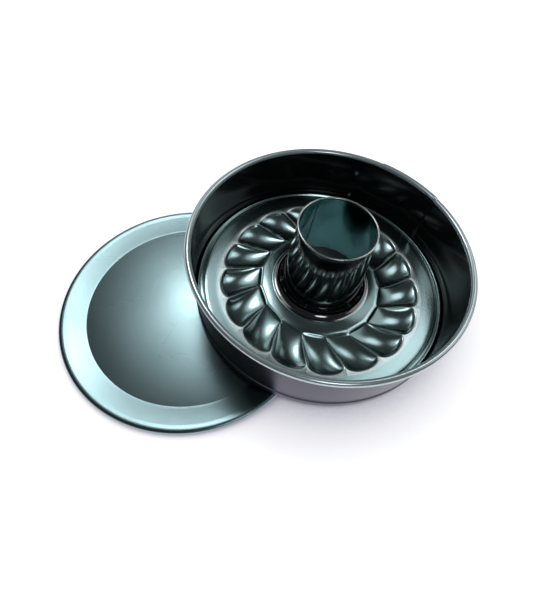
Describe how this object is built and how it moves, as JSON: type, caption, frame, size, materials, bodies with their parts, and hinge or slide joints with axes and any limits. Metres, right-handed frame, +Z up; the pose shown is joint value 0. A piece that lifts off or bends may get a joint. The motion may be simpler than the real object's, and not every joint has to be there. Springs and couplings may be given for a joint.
{
  "type": "springform tube cake pan",
  "caption": "Round springform cake pan: latched spring ring, tube base with a swirl of pressed lobes inside it, and a flat base lying partly under the ring.",
  "frame": {"origin": "centre of the flat base's underside, where it lies on the table", "axes": "+Z up, +X from the flat base's centre towards the ring's centre"},
  "size_m": [0.3973, 0.2743, 0.0993],
  "materials": {
    "flat_base": "satin dark teal-grey non-stick coat",
    "ring": "gloss black inside, satin dark grey outside",
    "tube_base": "satin dark teal-grey non-stick coat",
    "tube": "gloss black non-stick coat",
    "latch_steel": "bright plated steel",
    "rivet_steel": "bare rivet heads"
  },
  "bodies": {
    "flat_base": {"flat_base": "flat_base"},
    "ring": {"ring_band": "ring", "rim_wire": "latch_steel", "lever_bracket": "latch_steel", "lever_bracket_rivets": "rivet_steel", "lever_pivot_pin": "latch_steel", "catch_plate": "latch_steel", "catch_rivets": "rivet_steel"},
    "tube_base": {"tube_base_plate": "tube_base", "centre_tube": "tube"},
    "lever": {"clasp_lever": "latch_steel"},
    "wire_loop": {"clasp_bail": "latch_steel"}
  },
  "joints": [
    {"name": "ring_lift", "type": "slide", "parent": "flat_base", "child": "ring", "axis": [0, 0, 1], "range_m": [0, 0.12]},
    {"name": "tube_base_lift", "type": "slide", "parent": "ring", "child": "tube_base", "axis": [0.0351, 0, 0.9994], "range_m": [0, 0.1]},
    {"name": "lever_swing", "type": "hinge", "parent": "ring", "child": "lever", "pos_m": [0.20592, 0.11453, 0.03547], "axis": [-0.0467, -0.0192, -0.9987], "range_deg": [0, 110]},
    {"name": "wire_loop_swing", "type": "hinge", "parent": "lever", "child": "wire_loop", "pos_m": [0.20036, 0.11789, 0.03566], "axis": [-0.0467, -0.0192, -0.9987], "range_deg": [-95.4, 0]}
  ],
  "couplings": [
    {"joint": "wire_loop_swing", "follows": "lever_swing", "ratio": -0.865}
  ]
}
